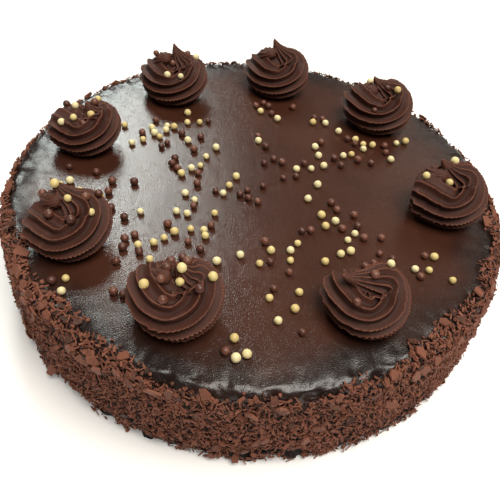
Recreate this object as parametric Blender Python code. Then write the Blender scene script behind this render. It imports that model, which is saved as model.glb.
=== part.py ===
"""A round chocolate cake: glaze poured over the top, shaved chocolate pressed on its side,
a ring of eight piped cream rosettes, and a scatter of small chocolate pearls.

The origin is the middle of the flat underside. +Z is up, and the front of the cake faces -Y.
"""

import math
import random

import bmesh
import bpy
from mathutils import Matrix, Vector
from mathutils.bvhtree import BVHTree

MM = 0.001
GAP = 0.3 * MM

# The cake and the glaze over it
CAKE_RADIUS = 134.5 * MM
FLAKE_COAT = 3.4 * MM
SIDE_RADIUS = CAKE_RADIUS - FLAKE_COAT
CAKE_HEIGHT = 53 * MM
GLAZE_DEPTH = 3.5 * MM
GLAZE_SKIRT = 6.5 * MM
SKIRT_THICKNESS = 2.4 * MM
SKIRT_GAP = 0.5 * MM
SHOULDER_REACH = 6.3 * MM
SHOULDER_DROP = 5.5 * MM
SHOULDER_STEPS = 3
CORE_CORNER = 3 * MM
GLAZE_SIDES = 60

# The coat on the side: how rough it is, its facets, each about the size of a flake, and the
# larger flakes that stand out of it: the size of a middling one, and how many there are
COAT_ROUGHNESS = 1.1 * MM
COAT_SIDES = 80
COAT_ROWS = 7
FLAKE_LENGTH = 7.0 * MM
FLAKE_WIDTH = 4.2 * MM
FLAKE_THICKNESS = 1.0 * MM
FLAKE_VARIATION = 0.3
FLAKE_ROWS = 4
FLAKES_IN_ROW = 32
RIM_FLAKES = 44
STRAY = 0.35
SUNK = 0.3 * FLAKE_THICKNESS

# The pearls: the glaze carries the largest ones that the handfuls drop
PEARL_RADIUS = 1.95 * MM
PEARL_VARIATION = 0.12
PEARL_SINK = 0.45 * MM
PEARL_CLEARANCE = 0.5 * MM
THROWS = 30
PEARLS_ON_GLAZE = 70

# Handfuls of pearls, in millimetres: where each lands, how wide it spreads, how many it holds
HANDFULS = (
    (-68, 28, 8, 13),
    (-50, 45, 7, 6),
    (-26, 23, 7, 5),
    (-40, 5, 5, 6),
    (-14, -10, 9, 11),
    (-31, -26, 6, 5),
    (-68, -30, 8, 7),
    (-54, -54, 7, 9),
    (-22, -54, 9, 11),
    (6, -58, 6, 8),
    (5, 72, 9, 7),
    (62, 39, 9, 17),
    (41, 60, 4, 3),
    (40, 22, 8, 7),
    (17, 8, 8, 8),
    (2, 35, 5, 3),
    (42, -36, 10, 17),
    (66, -56, 9, 9),
    (92, -54, 6, 4),
    (20, -90, 8, 6),
    (-80, -84, 3, 3),
    (-56, -86, 3, 2),
    (-3, -112, 5, 4),
    (-94, -18, 6, 4),
)

# The piped rope of one rosette, in millimetres from the middle of its foot: x, y, z, radius.
# It starts at the left, swells along the front, curls back over itself and is pulled to a peak.
STRAIGHT_START = (
    (-16.0, 1.0, 9.4, 9.2),
    (-12.5, -0.4, 9.8, 12.2),
    (-8.0, -3.2, 9.9, 12.6),
)
CURLED_START = (
    (-8.6, 9.5, 9.6, 8.4),
    (-8.6, 5.2, 10.4, 12.2),
    (-6.8, -0.8, 10.2, 12.8),
)
FRONT_AND_CURL = (
    (-2.4, -6.8, 9.0, 12.2),
    (2.6, -8.8, 8.6, 11.4),
    (7.2, -5.4, 10.0, 11.8),
    (8.0, 0.2, 13.0, 12.2),
    (5.8, 3.4, 17.2, 11.0),
)
# From the end of the curl to the peak: share of the way across, share of the way up, radius
PULLED_TAIL = (
    (0.4, 0.32, 6.4),
    (0.72, 0.6, 3.6),
    (0.92, 0.84, 1.5),
    (1.0, 1.0, 0.3),
)
ROPE_RIBS = 13
RIB_DEPTH = 0.3
ROPE_WIDENED = 1.12
ROPE_FLATTENED = 0.92
ROPE_TWIST = 0.3
FIRST_RIB = 0.35
ROPE_RINGS = 17
FOOT_RADIUS = 13 * MM
FOOT_TAPER = 0.9
FOOT_HEIGHT = 6 * MM
FOOT_SIDES = 14
SKIN_GRAIN = 0.6 * MM
ROSETTE_FACES = 410
REACH = 22 * MM
PEARLS_LAND_WITHIN = 16 * MM
PEARL_SINK_IN_CREAM = 0.9 * MM

# The ring of rosettes, anticlockwise from the right: its angle in degrees, its distance from the
# middle of the cake, how it starts, its size, where its peak stands, and how many pearls it carries
ROSETTES = (
    (-5.5, 99.0, STRAIGHT_START, 1.00, (-6.0, 4.5, 28.5), 3),
    (44.4, 98.0, CURLED_START, 1.02, (-5.0, 4.0, 27.5), 4),
    (86.2, 98.5, CURLED_START, 1.00, (-3.5, 5.0, 31.0), 0),
    (126.2, 98.0, CURLED_START, 1.00, (0.0, 5.0, 31.0), 5),
    (168.4, 100.0, STRAIGHT_START, 0.95, (2.0, 3.5, 25.0), 6),
    (213.6, 101.5, STRAIGHT_START, 0.97, (-7.0, 7.0, 31.0), 6),
    (252.6, 97.0, CURLED_START, 0.98, (0.5, 3.0, 28.0), 6),
    (301.5, 98.5, CURLED_START, 0.90, (-14.0, -1.0, 26.5), 3),
)

GLAZE_BROWN = (0.075, 0.035, 0.024)
FLAKE_BROWN = (0.15, 0.055, 0.032)
CREAM_BROWN = (0.085, 0.036, 0.023)


def clear_scene():
    for item in list(bpy.data.objects):
        bpy.data.objects.remove(item)


def finish_of(name, colour, roughness):
    material = bpy.data.materials.new(name)
    material.use_nodes = True
    surface = material.node_tree.nodes["Principled BSDF"]
    surface.inputs["Base Color"].default_value = (*colour, 1)
    surface.inputs["Roughness"].default_value = roughness
    surface.inputs["Metallic"].default_value = 0
    return material


def object_from(name, points, faces, material):
    mesh = bpy.data.meshes.new(name)
    mesh.from_pydata(points, [], faces)
    mesh.materials.append(material)
    made = bpy.data.objects.new(name, mesh)
    bpy.context.scene.collection.objects.link(made)
    return made


def skinned(name, rings, start, end, material):
    """A closed skin over rings of equal length, with a middle point at each end."""
    count = len(rings[0])
    points = [point for ring in rings for point in ring] + [start, end]
    first, last = len(points) - 2, len(points) - 1
    top = (len(rings) - 1) * count
    faces = []
    for side in range(count):
        after = (side + 1) % count
        faces.append((first, after, side))
        faces.append((last, top + side, top + after))
        for low in range(0, top, count):
            faces.append((low + side, low + after, low + count + after, low + count + side))
    return object_from(name, points, faces, material)


def turned(name, outline, sides, material):
    """A solid of revolution. Its outline runs from the axis at the bottom, out and up, to the axis."""
    turns = [math.tau * step / sides for step in range(sides)]
    rings = [
        [(radius * math.cos(turn), radius * math.sin(turn), height) for turn in turns]
        for radius, height in outline[1:-1]
    ]
    return skinned(name, rings, (0, 0, outline[0][1]), (0, 0, outline[-1][1]), material)


def quarter(middle, reach, drop, steps):
    """Points (radius, height) of a quarter ellipse, from straight out to straight up."""
    turns = [math.pi / 2 * step / steps for step in range(steps + 1)]
    return [(middle[0] + reach * math.cos(turn), middle[1] + drop * math.sin(turn)) for turn in turns]


def keep_evaluated(item):
    """Applies the modifiers."""
    graph = bpy.context.evaluated_depsgraph_get()
    mesh = bpy.data.meshes.new_from_object(item.evaluated_get(graph))
    item.modifiers.clear()
    item.data = mesh


def fuse(base, extras, solver="EXACT"):
    """Joins the extras to the base with one Boolean union, and removes them.

    The exact solver leaves open edges on the creased skin of a rosette, so that one is joined by the
    manifold solver.
    """
    together = bpy.data.collections.new(base.name + "_extras")
    bpy.context.scene.collection.children.link(together)
    for extra in extras:
        together.objects.link(extra)
    union = base.modifiers.new("fuse", "BOOLEAN")
    union.operation = "UNION"
    union.operand_type = "COLLECTION"
    union.collection = together
    union.solver = solver
    keep_evaluated(base)
    for extra in extras:
        bpy.data.objects.remove(extra)
    bpy.data.collections.remove(together)


def merge_overlaps(item, other):
    """Makes one clean skin of a rope that folds over itself and the foot under it, then thins it out."""
    with_other = bmesh.new()
    with_other.from_mesh(item.data)
    with_other.from_mesh(other.data)
    with_other.to_mesh(item.data)
    with_other.free()
    bpy.data.objects.remove(other)
    skin = item.modifiers.new("one_skin", "REMESH")
    skin.mode = "VOXEL"
    skin.voxel_size = SKIN_GRAIN
    keep_evaluated(item)
    thinned = item.modifiers.new("thinned", "DECIMATE")
    thinned.ratio = ROSETTE_FACES / sum(len(face.vertices) - 2 for face in item.data.polygons)
    keep_evaluated(item)
    keep_largest(item)
    for vertex in item.data.vertices:
        vertex.co.z = max(vertex.co.z, CAKE_HEIGHT + GAP)


def keep_largest(item):
    """Drops the scraps that a union left loose."""
    work = bmesh.new()
    work.from_mesh(item.data)
    unseen = set(work.verts)
    groups = []
    while unseen:
        waiting = [unseen.pop()]
        group = list(waiting)
        while waiting:
            for edge in waiting.pop().link_edges:
                for vertex in edge.verts:
                    if vertex in unseen:
                        unseen.remove(vertex)
                        waiting.append(vertex)
                        group.append(vertex)
        groups.append(group)
    groups.sort(key=len)
    for group in groups[:-1]:
        bmesh.ops.delete(work, geom=group, context="VERTS")
    work.to_mesh(item.data)
    work.free()


def cake_outline():
    """The cake below its glaze: a flat foot, a coated side, and a ledge that the glaze ends on."""
    ledge = CAKE_HEIGHT - GLAZE_SKIRT
    inside = SIDE_RADIUS - SKIRT_THICKNESS
    top = CAKE_HEIGHT - GLAZE_DEPTH
    side = [(SIDE_RADIUS, ledge * row / COAT_ROWS) for row in range(COAT_ROWS + 1)]
    corner = quarter((inside - CORE_CORNER, top - CORE_CORNER), CORE_CORNER, CORE_CORNER, 1)
    return [(0, 0), *side, (inside, ledge), *corner, (0, top)]


def roughen_side(cake, draw):
    """Pushes the points of the coated side in and out, and along it, so that it is crumbly."""
    ledge = CAKE_HEIGHT - GLAZE_SKIRT
    row_height = ledge / COAT_ROWS
    for vertex in cake.data.vertices:
        x, y, z = vertex.co
        if math.hypot(x, y) < SIDE_RADIUS - SKIRT_THICKNESS / 2:
            continue
        radius = SIDE_RADIUS + COAT_ROUGHNESS * draw.uniform(-0.6, 1.4)
        turn = math.atan2(y, x) + draw.uniform(-0.3, 0.3) * math.tau / COAT_SIDES
        between = row_height / 2 < z < ledge - row_height / 2
        height = z + draw.uniform(-0.3, 0.3) * row_height * between
        vertex.co = (radius * math.cos(turn), radius * math.sin(turn), height)


def glaze_outline():
    """The glaze: its underside follows the cake with a gap, and its top rolls over the shoulder."""
    ledge = CAKE_HEIGHT - GLAZE_SKIRT + GAP
    inside = SIDE_RADIUS - SKIRT_THICKNESS + SKIRT_GAP
    under = CAKE_HEIGHT - GLAZE_DEPTH + GAP
    corner = quarter((inside - CORE_CORNER, under - CORE_CORNER), CORE_CORNER, CORE_CORNER, 1)
    middle = (SIDE_RADIUS - SHOULDER_REACH, CAKE_HEIGHT - SHOULDER_DROP)
    shoulder = quarter(middle, SHOULDER_REACH, SHOULDER_DROP, SHOULDER_STEPS)
    edge = [(inside, ledge), (SIDE_RADIUS, ledge)]
    return [(0, under), *reversed(corner), *edge, *shoulder, (0, CAKE_HEIGHT)]


def flake(place, length, width, skew, material):
    """One shaving of chocolate: a thin plate with slanting ends, narrower at one end."""
    corners = (
        (-length / 2, -width / 2),
        (length / 2, -width / 2 + skew * width),
        (length / 2 - skew * length / 2, width / 2),
        (-length / 2 + skew * length / 3, width / 2 - skew * width),
    )
    points = [place @ Vector((x, y, z)) for z in (0, FLAKE_THICKNESS) for x, y in corners]
    faces = [(3, 2, 1, 0), (4, 5, 6, 7)]
    faces += [(side, (side + 1) % 4, (side + 1) % 4 + 4, side + 4) for side in range(4)]
    return object_from("flake", points, faces, material)


def flake_size(draw):
    """Length, width and skew of the next flake."""
    length = FLAKE_LENGTH * (1 + draw.uniform(-1, 1) * FLAKE_VARIATION)
    width = FLAKE_WIDTH * (1 + draw.uniform(-1, 1) * FLAKE_VARIATION)
    return length, width, draw.uniform(0, STRAY)


def side_flakes(draw, material):
    """The larger flakes of the coat: row above row, each rooted in the cake by one edge."""
    made = []
    ledge = CAKE_HEIGHT - GLAZE_SKIRT
    for row in range(FLAKE_ROWS):
        for number in range(FLAKES_IN_ROW):
            length, width, skew = flake_size(draw)
            turn = math.tau * (number + 0.5 * (row % 2) + draw.uniform(-STRAY, STRAY)) / FLAKES_IN_ROW
            height = ledge * (row + 0.5 + draw.uniform(-STRAY, STRAY)) / FLAKE_ROWS
            reach = math.hypot(length, width) / 2 + GAP
            height = min(max(height, reach), ledge - reach)
            tilt = math.asin((FLAKE_COAT - FLAKE_THICKNESS) / length) * draw.uniform(STRAY, 1)
            place = (
                Matrix.Rotation(turn, 4, "Z")
                @ Matrix.Translation((SIDE_RADIUS, 0, height))
                @ Matrix.Rotation(math.pi / 2, 4, "Y")
                @ Matrix.Rotation(draw.uniform(-math.pi / 2, math.pi / 2), 4, "Z")
                @ Matrix.Translation((0, 0, length / 2 * math.sin(tilt) - SUNK))
                @ Matrix.Rotation(tilt, 4, "Y")
            )
            made.append(flake(place, length, width, skew, material))
    return made


def rosette_middles():
    rings = [(math.radians(angle), distance * MM) for angle, distance, *_ in ROSETTES]
    return [(distance * math.cos(angle), distance * math.sin(angle)) for angle, distance in rings]


def rim_flakes(draw, material):
    """Flakes that lie on the rolled edge of the glaze, above the coat, and between the rosettes."""
    made = []
    for number in range(RIM_FLAKES):
        length, width, skew = flake_size(draw)
        turn = math.tau * (number + draw.uniform(-STRAY, STRAY)) / RIM_FLAKES
        climb = math.pi / 4 * (1 + draw.uniform(-0.5, 1) * STRAY)
        out = SIDE_RADIUS - SHOULDER_REACH * (1 - math.cos(climb))
        up = CAKE_HEIGHT - SHOULDER_DROP * (1 - math.sin(climb))
        place = (
            Matrix.Rotation(turn, 4, "Z")
            @ Matrix.Translation((out, 0, up))
            @ Matrix.Rotation(math.pi / 2 - climb, 4, "Y")
            @ Matrix.Rotation(math.pi / 2 * (1 + draw.uniform(-STRAY, STRAY)), 4, "Z")
            @ Matrix.Translation((0, 0, -SUNK))
        )
        spot = (out * math.cos(turn), out * math.sin(turn))
        if all(math.dist(spot, middle) > REACH + length for middle in rosette_middles()):
            made.append(flake(place, length, width, skew, material))
    return made


def pearl(place, radius, material):
    work = bmesh.new()
    bmesh.ops.create_icosphere(work, subdivisions=1, radius=radius)
    bmesh.ops.translate(work, verts=work.verts, vec=place)
    mesh = bpy.data.meshes.new("pearl")
    work.to_mesh(mesh)
    work.free()
    mesh.materials.append(material)
    made = bpy.data.objects.new("pearl", mesh)
    bpy.context.scene.collection.objects.link(made)
    return made


def pearls_on_glaze():
    """(x, y, radius) of the pearls between the rosettes, clear of them and of each other, largest first."""
    draw = random.Random(11)
    kept = []
    for x, y, spread, count in HANDFULS:
        for _ in range(count):
            for _ in range(THROWS):
                place = (draw.gauss(x, spread) * MM, draw.gauss(y, spread) * MM)
                radius = PEARL_RADIUS * (1 + draw.uniform(-1, 1) * PEARL_VARIATION)
                on_glaze = math.hypot(*place) < SIDE_RADIUS - SHOULDER_REACH - radius
                clear = all(math.dist(place, middle) > REACH + radius for middle in rosette_middles())
                apart = all(math.dist(place, (a, b)) > radius + c + PEARL_CLEARANCE for a, b, c in kept)
                if on_glaze and clear and apart:
                    kept.append((*place, radius))
                    break
    return sorted(kept, key=lambda pearl: -pearl[2])


def smooth_path(stations, count):
    """Evenly spaced stations on a Catmull-Rom curve through the given ones."""
    held = [stations[0], *stations, stations[-1]]
    spans = len(stations) - 1
    path = []
    for step in range(count):
        share = step / (count - 1) * spans
        span = min(int(share), spans - 1)
        t = share - span
        a, b, c, d = (Vector(station) for station in held[span : span + 4])
        bend = (2 * a - 5 * b + 4 * c - d) * t**2 + (3 * b - a - 3 * c + d) * t**3
        path.append(0.5 * (2 * b + (c - a) * t + bend))
    return path


def star_rings(path, sides):
    """Star sections along the rope. The ribs climb a little over the rope where it curls."""
    rings = []
    heading = None
    for number, station in enumerate(path):
        before, after = path[max(number - 1, 0)], path[min(number + 1, len(path) - 1)]
        travel = Vector((after - before)[:3]).normalized()
        turn = math.atan2(travel.y, travel.x)
        if heading is None:
            heading = turn
        heading += (turn - heading + math.pi) % math.tau - math.pi
        side = Vector((math.sin(heading), -math.cos(heading), 0))
        rise = side.cross(travel).normalized()
        ring = []
        for corner in range(sides):
            around = math.tau * corner / sides
            angle = around + ROPE_TWIST * heading + FIRST_RIB
            radius = station[3] * (1 - RIB_DEPTH * abs(math.sin(ROPE_RIBS * around / 2)))
            across = ROPE_WIDENED * math.cos(angle) * side + ROPE_FLATTENED * math.sin(angle) * rise
            point = Vector(station[:3]) + radius * across
            ring.append(Vector((point.x, point.y, max(point.z, 0))))
        rings.append(ring)
    return rings


def rosette(name, details, draw, material):
    """One rosette: the piped rope on a small round foot, with pearls dropped on it."""
    angle, distance, start, size, peak, pearl_count = details
    curl = Vector(FRONT_AND_CURL[-1][:3])
    pull = Vector(peak) - curl
    tail = [
        (*(curl + Vector((across * pull.x, across * pull.y, up * pull.z))), radius)
        for across, up, radius in PULLED_TAIL
    ]
    path = smooth_path((*start, *FRONT_AND_CURL, *tail), ROPE_RINGS)
    around = math.radians(angle)
    middle = Vector((distance * MM * math.cos(around), distance * MM * math.sin(around), CAKE_HEIGHT + GAP))
    place = Matrix.Translation(middle) @ Matrix.Scale(size * MM, 4)
    rings = [[place @ point for point in ring] for ring in star_rings(path, 2 * ROPE_RIBS)]
    ends = [place @ Vector(station[:3]) for station in (path[0], path[-1])]
    made = skinned(name, rings, *ends, material)
    merge_overlaps(made, foot_under(middle, material))
    surface = bmesh.new()
    surface.from_mesh(made.data)
    shape = BVHTree.FromBMesh(surface)
    surface.free()
    dropped = []
    while len(dropped) < pearl_count:
        away, spin = draw.uniform(0, PEARLS_LAND_WITHIN), draw.uniform(0, math.tau)
        above = middle + Vector((away * math.cos(spin), away * math.sin(spin), CAKE_HEIGHT))
        hit = shape.ray_cast(above, Vector((0, 0, -1)))[0]
        radius = PEARL_RADIUS * (1 + draw.uniform(-1, 1) * PEARL_VARIATION)
        if hit and all((hit - other).length > size_of + 2 * radius for other, size_of in dropped):
            dropped.append((hit, radius))
    if dropped:
        pearls = [
            pearl(hit + Vector((0, 0, radius - PEARL_SINK_IN_CREAM)), radius, material)
            for hit, radius in dropped
        ]
        fuse(made, pearls, "MANIFOLD")
        keep_largest(made)
    return made


def foot_under(middle, material):
    """The round of cream under the rope, which the nozzle presses on the glaze first."""
    turns = [math.tau * step / FOOT_SIDES for step in range(FOOT_SIDES)]
    rings = [
        [middle + Vector((radius * math.cos(turn), radius * math.sin(turn), height)) for turn in turns]
        for radius, height in ((FOOT_RADIUS * FOOT_TAPER, 0), (FOOT_RADIUS, FOOT_HEIGHT))
    ]
    return skinned("foot", rings, middle, middle + Vector((0, 0, FOOT_HEIGHT)), material)


def main():
    clear_scene()
    flake_finish = finish_of("shaved_chocolate", FLAKE_BROWN, 0.7)
    glaze_finish = finish_of("chocolate_glaze", GLAZE_BROWN, 0.25)
    cream_finish = finish_of("chocolate_cream", CREAM_BROWN, 0.5)
    draw = random.Random(7)
    cake = turned("cake_body", cake_outline(), COAT_SIDES, flake_finish)
    roughen_side(cake, draw)
    fuse(cake, side_flakes(draw, flake_finish))
    keep_largest(cake)
    glaze = turned("chocolate_glaze", glaze_outline(), GLAZE_SIDES, glaze_finish)
    pearls = [
        pearl(Vector((x, y, CAKE_HEIGHT + radius - PEARL_SINK)), radius, glaze_finish)
        for x, y, radius in pearls_on_glaze()[:PEARLS_ON_GLAZE]
    ]
    fuse(glaze, pearls + rim_flakes(draw, glaze_finish))
    keep_largest(glaze)
    for number, details in enumerate(ROSETTES, 1):
        rosette(f"rosette_{number}", details, random.Random(20 + number), cream_finish)


main()
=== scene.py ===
"""A glazed chocolate cake with a ring of piped rosettes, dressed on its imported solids."""
import math
import random

import bmesh
import bpy
from mathutils import Matrix, Vector, noise
from mathutils.bvhtree import BVHTree


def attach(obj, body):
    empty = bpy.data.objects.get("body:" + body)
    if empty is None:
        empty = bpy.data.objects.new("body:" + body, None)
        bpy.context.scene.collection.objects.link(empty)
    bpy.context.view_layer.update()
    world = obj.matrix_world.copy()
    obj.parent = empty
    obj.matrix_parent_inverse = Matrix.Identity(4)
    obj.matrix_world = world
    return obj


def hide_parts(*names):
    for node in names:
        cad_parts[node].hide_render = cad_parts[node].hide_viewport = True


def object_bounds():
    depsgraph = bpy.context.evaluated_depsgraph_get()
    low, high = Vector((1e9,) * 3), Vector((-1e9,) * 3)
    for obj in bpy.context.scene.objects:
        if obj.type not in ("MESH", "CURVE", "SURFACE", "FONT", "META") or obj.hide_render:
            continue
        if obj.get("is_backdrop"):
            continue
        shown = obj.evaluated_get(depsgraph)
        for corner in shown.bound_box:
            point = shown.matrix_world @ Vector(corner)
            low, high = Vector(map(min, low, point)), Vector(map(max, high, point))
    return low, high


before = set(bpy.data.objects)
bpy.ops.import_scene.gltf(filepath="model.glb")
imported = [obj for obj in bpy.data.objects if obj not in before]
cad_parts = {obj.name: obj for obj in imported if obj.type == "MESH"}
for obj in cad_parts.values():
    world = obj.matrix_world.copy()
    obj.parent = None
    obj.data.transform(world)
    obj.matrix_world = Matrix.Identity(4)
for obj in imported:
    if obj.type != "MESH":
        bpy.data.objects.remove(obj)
cad_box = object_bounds()

# The cake: chocolate sponge and cream, trimmed to a round, and coated on its side with soft cream.
# The side is dark chocolate under the shavings, painted near black as painted shade for the gaps
# between them, and uneven where they were pressed on by hand. It stands on its flat underside.
MM = 0.001
SIDE_RADIUS = 131.1 * MM
CAKE_HEIGHT = 53 * MM
GLAZE_SKIRT = 6.5 * MM
SKIRT_THICKNESS = 2.4 * MM
GLAZE_DEPTH = 3.5 * MM
CORE_CORNER = 3 * MM
LEDGE = CAKE_HEIGHT - GLAZE_SKIRT
FELT_THICKNESS = 0.5 * MM
FELT_FLARE = 2.2 * MM
FELT_RELIEF = 1.2 * MM
FELT_ENDS = LEDGE + 4 * MM
FELT_FADE = 10 * MM
HOLLOW_DEPTH = 1.8 * MM
HOLLOWS_BELOW = 17 * MM
HOLLOW_STEEPNESS = 8
HOLLOW_AMOUNT = 0.16
HOLLOW_EDGE = 0.2
CRUMB_RELIEF = 0.45 * MM
CRUMBS_BELOW = 0.8 * MM
COAT_SIDES = 720
COAT_ROWS = 44


def linear(colour):
    """An sRGB hex colour as linear red, green, blue and alpha."""
    parts = [int(colour[place : place + 2], 16) / 255 for place in (1, 3, 5)]
    return [p / 12.92 if p <= 0.04045 else ((p + 0.055) / 1.055) ** 2.4 for p in parts] + [1]


def add_node(tree, kind, settings=None, links=None, **values):
    """A node with its settings, the values of its sockets, and its links from other outputs.

    An underscore in a value's name stands for a space. A link's key is a socket's name or number.
    """
    node = tree.nodes.new(kind)
    for name, value in (settings or {}).items():
        setattr(node, name, value)
    for name, value in values.items():
        node.inputs[name.replace("_", " ")].default_value = value
    for socket, output in (links or {}).items():
        tree.links.new(output, node.inputs[socket])
    return node


def new_finish(name):
    """An empty material, its node tree, and the object's own coordinates."""
    finish = bpy.data.materials.new(name)
    finish.use_nodes = True
    tree = finish.node_tree
    tree.nodes.clear()
    return finish, tree, add_node(tree, "ShaderNodeTexCoord").outputs["Object"]


def spread(stops, *colours):
    """Sets a colour ramp's stops: pairs of a place and a hex colour. Gives the ramp's output."""
    while len(stops.color_ramp.elements) < len(colours):
        stops.color_ramp.elements.new(1)
    for element, (place, colour) in zip(stops.color_ramp.elements, colours):
        element.position = place
        element.color = linear(colour)
    return stops.outputs["Color"]


def object_from(name, points, faces, finish, smooth=True):
    """An object at the origin, from points and faces."""
    mesh = bpy.data.meshes.new(name)
    mesh.from_pydata(points, [], faces)
    mesh.materials.append(finish)
    if smooth:
        mesh.shade_smooth()
    made = bpy.data.objects.new(name, mesh)
    bpy.context.scene.collection.objects.link(made)
    return made


def skinned(name, rings, start, end, finish):
    """A closed skin over rings of equal length, with a middle point at each end."""
    count = len(rings[0])
    points = [point for ring in rings for point in ring] + [start, end]
    first, last = len(points) - 2, len(points) - 1
    top = (len(rings) - 1) * count
    faces = []
    for side in range(count):
        after = (side + 1) % count
        faces.append((first, after, side))
        faces.append((last, top + side, top + after))
        for low in range(0, top, count):
            faces.append((low + side, low + after, low + count + after, low + count + side))
    return object_from(name, points, faces, finish)


def turned(name, outline, sides, finish):
    """A solid of revolution. Its outline runs from the axis at the bottom, out and up, to the axis."""
    turns = [math.tau * step / sides for step in range(sides)]
    rings = [
        [(radius * math.cos(turn), radius * math.sin(turn), height) for turn in turns]
        for radius, height in outline[1:-1]
    ]
    return skinned(name, rings, (0, 0, outline[0][1]), (0, 0, outline[-1][1]), finish)


def quarter(middle, reach, drop, steps):
    """Points (radius, height) of a quarter ellipse, from straight out to straight up."""
    turns = [math.pi / 2 * step / steps for step in range(steps + 1)]
    return [(middle[0] + reach * math.cos(turn), middle[1] + drop * math.sin(turn)) for turn in turns]


# Dark chocolate crumb and cream, dull and grainy, painted near black as painted shade for the gaps
# between the shavings.
crumb_in_painted_shade, tree, place = new_finish("chocolate_crumb")
grain = add_node(tree, "ShaderNodeTexNoise", links={"Vector": place}, Scale=420, Detail=4)
stops = add_node(tree, "ShaderNodeValToRGB", links={"Fac": grain.outputs["Fac"]})
colour = spread(stops, (0.3, "#120a07"), (0.7, "#25150f"))
bump = add_node(
    tree, "ShaderNodeBump", links={"Height": grain.outputs["Fac"]}, Strength=0.6, Distance=0.6 * MM
)
surface = add_node(
    tree,
    "ShaderNodeBsdfPrincipled",
    links={"Base Color": colour, "Normal": bump.outputs["Normal"]},
    Roughness=0.65,
)
add_node(tree, "ShaderNodeOutputMaterial", links={"Surface": surface.outputs["BSDF"]})


def clamp(value):
    """The value, held between 0 and 1."""
    return min(max(value, 0), 1)


def felt_at(point):
    """How far the coat stands out at a point of the side, and how well the shavings cover it.

    They were pressed on by the handful, so there are lumps, and low down some flat hollows.
    """
    lumps = noise.fractal(point * 95, 0.8, 2.2, 3)
    low_down = max(1 - point.z / HOLLOWS_BELOW, 0)
    flat_spots = noise.fractal(Vector((point.x * 60, point.y * 60, point.z * 230)), 0.7, 2.2, 2)
    hollow = clamp(HOLLOW_STEEPNESS * low_down * (flat_spots + HOLLOW_AMOUNT) - HOLLOW_EDGE)
    thickness = FELT_THICKNESS + FELT_FLARE * (1 - point.z / LEDGE) + FELT_RELIEF * lumps
    share = clamp((FELT_ENDS - point.z) / FELT_FADE)
    return thickness * share - HOLLOW_DEPTH * hollow, 1 - hollow


inside = SIDE_RADIUS - SKIRT_THICKNESS
top = CAKE_HEIGHT - GLAZE_DEPTH
side = [(SIDE_RADIUS, LEDGE * row / COAT_ROWS) for row in range(COAT_ROWS + 1)]
corner = quarter((inside - CORE_CORNER, top - CORE_CORNER), CORE_CORNER, CORE_CORNER, 4)
outline = [(0, 0), (SIDE_RADIUS / 2, 0), *side, (inside, LEDGE), *corner, (SIDE_RADIUS / 2, top), (0, top)]
cake = turned("coated_cake", outline, COAT_SIDES, crumb_in_painted_shade)
for vertex in cake.data.vertices:
    x, y, z = vertex.co
    out = math.hypot(x, y)
    if out > SIDE_RADIUS - SKIRT_THICKNESS / 2:
        crumbs = noise.noise(vertex.co * 620)
        reach = SIDE_RADIUS + felt_at(vertex.co)[0] - CRUMBS_BELOW + CRUMB_RELIEF * crumbs
        vertex.co = (x / out * reach, y / out * reach, z)
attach(cake, "root")
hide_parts("cake_body")

# The shavings: thin curls and splinters scraped off a block of chocolate, with the fine grit that
# comes with them and a few broad chips. They are pressed by the handful on the soft side, in a
# thick felt with dark gaps, and they creep up over the rolled edge of the glaze in ragged lumps.
SHOULDER_REACH = 6.3 * MM
SHOULDER_DROP = 5.5 * MM
CARRIER_SIDES = 360
CARRIER_ROWS = 24
KINDS_OF_SHAVING = 8
RAGGED_RIM = 4.2 * MM
COVER_FADE = 0.7 * MM
HIGHER_BESIDE = 7.5 * MM
BARE_SHOULDER = math.radians(-86)
BARE_FADE = 5
SIDE_SHARE = 0.35
BACK_SHARE = 0.15


def shaving(draw, length, width, thickness, bends, curl):
    """Points and faces of one closed shaving: a bent strip with slanting ends, thin at its edges."""
    slant = draw.uniform(-0.5, 0.5) * width
    narrow = draw.uniform(0.45, 1)
    hook = draw.uniform(-1, 1) * curl
    points = []
    for step in range(bends + 1):
        share = step / bends
        along = (share - 0.5) * length
        lift = hook * length * (share - 0.5) ** 2 + draw.uniform(-0.5, 0.5) * thickness
        half = width / 2 * (1 + (narrow - 1) * share) * draw.uniform(0.75, 1.15)
        skew = slant * (1 - 2 * share)
        for edge, height in ((-1, 0.2), (1, 0.2), (1, 1), (-1, 1)):
            across = edge * half * (1 if height < 1 else 0.85)
            points.append((along + edge * skew * 0.3, across, lift + height * thickness))
    faces = [(0, 1, 2, 3), tuple(4 * bends + corner for corner in (3, 2, 1, 0))]
    for step in range(0, 4 * bends, 4):
        for corner in range(4):
            after = (corner + 1) % 4
            faces.append((step + after, step + corner, step + 4 + corner, step + 4 + after))
    return points, faces


def shavings_of(name, draw, length, width, thickness, bends, curl, finish):
    """A collection of shavings of one kind, each a little different, as samples to scatter."""
    samples = bpy.data.collections.new(name)
    for number in range(KINDS_OF_SHAVING):
        sizes = (length * draw.uniform(0.7, 1.3), width * draw.uniform(0.7, 1.3), thickness)
        sample = object_from(f"{name}_{number}", *shaving(draw, *sizes, bends, curl), finish, False)
        bpy.context.scene.collection.objects.unlink(sample)
        samples.objects.link(sample)
    return samples


def grit_of(name, draw, size, finish):
    """A collection of crumbs: small lumps with uneven facets."""
    samples = bpy.data.collections.new(name)
    for number in range(KINDS_OF_SHAVING):
        work = bmesh.new()
        bmesh.ops.create_icosphere(work, subdivisions=1, radius=size / 2)
        for vertex in work.verts:
            vertex.co *= draw.uniform(0.6, 1.25)
            vertex.co.z *= 0.55
        mesh = bpy.data.meshes.new(f"{name}_{number}")
        work.to_mesh(mesh)
        work.free()
        mesh.materials.append(finish)
        samples.objects.link(bpy.data.objects.new(f"{name}_{number}", mesh))
    return samples


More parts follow.
